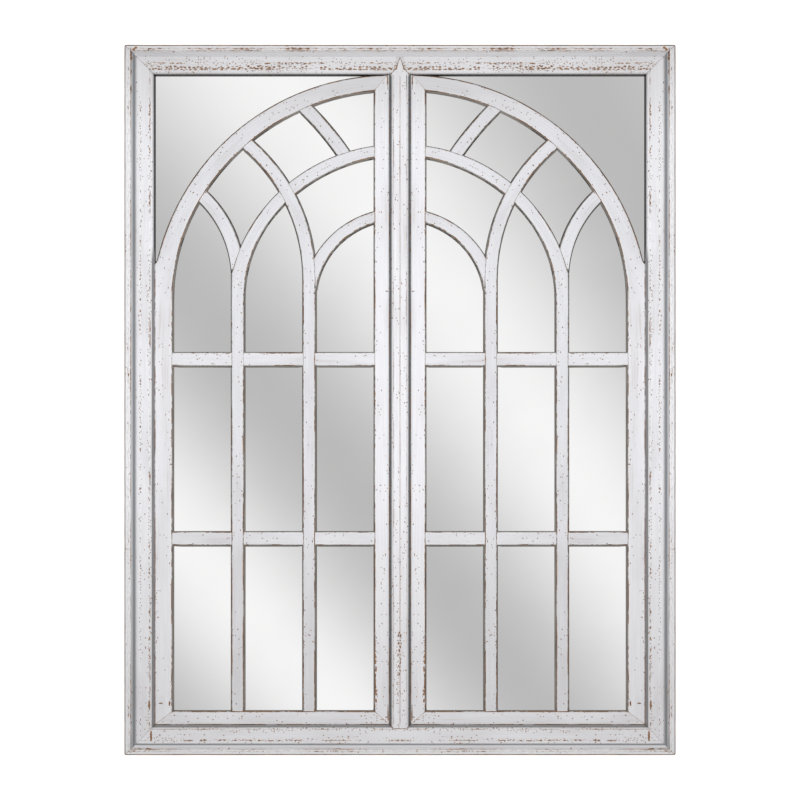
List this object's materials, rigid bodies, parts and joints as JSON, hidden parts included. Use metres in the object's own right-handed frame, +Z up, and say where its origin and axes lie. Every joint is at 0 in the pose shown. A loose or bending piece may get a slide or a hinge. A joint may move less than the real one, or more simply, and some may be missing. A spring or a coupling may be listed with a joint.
{
  "type": "wall mirror",
  "caption": "Large rectangular wall mirror with a moulded wooden frame and two fixed leaves whose tracery makes a round arch, hung on rings at the back.",
  "frame": {"origin": "middle of the mullion's back, on the plane of the frame's back", "axes": "+X across to the viewer's right, +Y out of the back towards the wall, +Z up"},
  "size_m": [0.9, 0.0376, 1.16],
  "materials": {
    "painted_wood": "distressed off-white paint, worn to brown wood at the edges",
    "silvered_glass": "polished",
    "hardboard": "raw hardboard",
    "bright_steel": "bright",
    "zinc_steel": "zinc plated",
    "soft_pad": "matt, translucent grey"
  },
  "bodies": {
    "mirror": {"frame_top_rail": "painted_wood", "frame_bottom_rail": "painted_wood", "frame_left_stile": "painted_wood", "frame_right_stile": "painted_wood", "centre_mullion": "painted_wood", "left_outer_stile_and_arch": "painted_wood", "left_inner_stile": "painted_wood", "left_sill_rail": "painted_wood", "left_muntin_one": "painted_wood", "left_muntin_two": "painted_wood", "left_second_arch": "painted_wood", "left_third_arch": "painted_wood", "left_outer_rib": "painted_wood", "left_short_rib": "painted_wood", "left_upper_cross_bars": "painted_wood", "left_lower_cross_bars": "painted_wood", "right_outer_stile_and_arch": "painted_wood", "right_inner_stile": "painted_wood", "right_sill_rail": "painted_wood", "right_muntin_one": "painted_wood", "right_muntin_two": "painted_wood", "right_second_arch": "painted_wood", "right_third_arch": "painted_wood", "right_outer_rib": "painted_wood", "right_short_rib": "painted_wood", "right_upper_cross_bars": "painted_wood", "right_lower_cross_bars": "painted_wood", "mirror_glass_left": "silvered_glass", "mirror_glass_right": "silvered_glass", "backing_board_left": "hardboard", "backing_board_right": "hardboard", "corner_v_nails": "bright_steel", "retaining_points": "bright_steel", "wall_bumpers": "soft_pad", "left_hanger_strap": "zinc_steel", "left_hanger_screws": "zinc_steel", "right_hanger_strap": "zinc_steel", "right_hanger_screws": "zinc_steel"},
    "left_ring": {"left_hanger_ring": "zinc_steel"},
    "right_ring": {"right_hanger_ring": "zinc_steel"}
  },
  "joints": [
    {"name": "left_ring_swing", "type": "hinge", "parent": "mirror", "child": "left_ring", "pos_m": [-0.43175, 0.0036, 0.32], "axis": [1, 0, 0], "range_deg": [0, 175]},
    {"name": "right_ring_swing", "type": "hinge", "parent": "mirror", "child": "right_ring", "pos_m": [0.43175, 0.0036, 0.32], "axis": [1, 0, 0], "range_deg": [0, 175]}
  ]
}
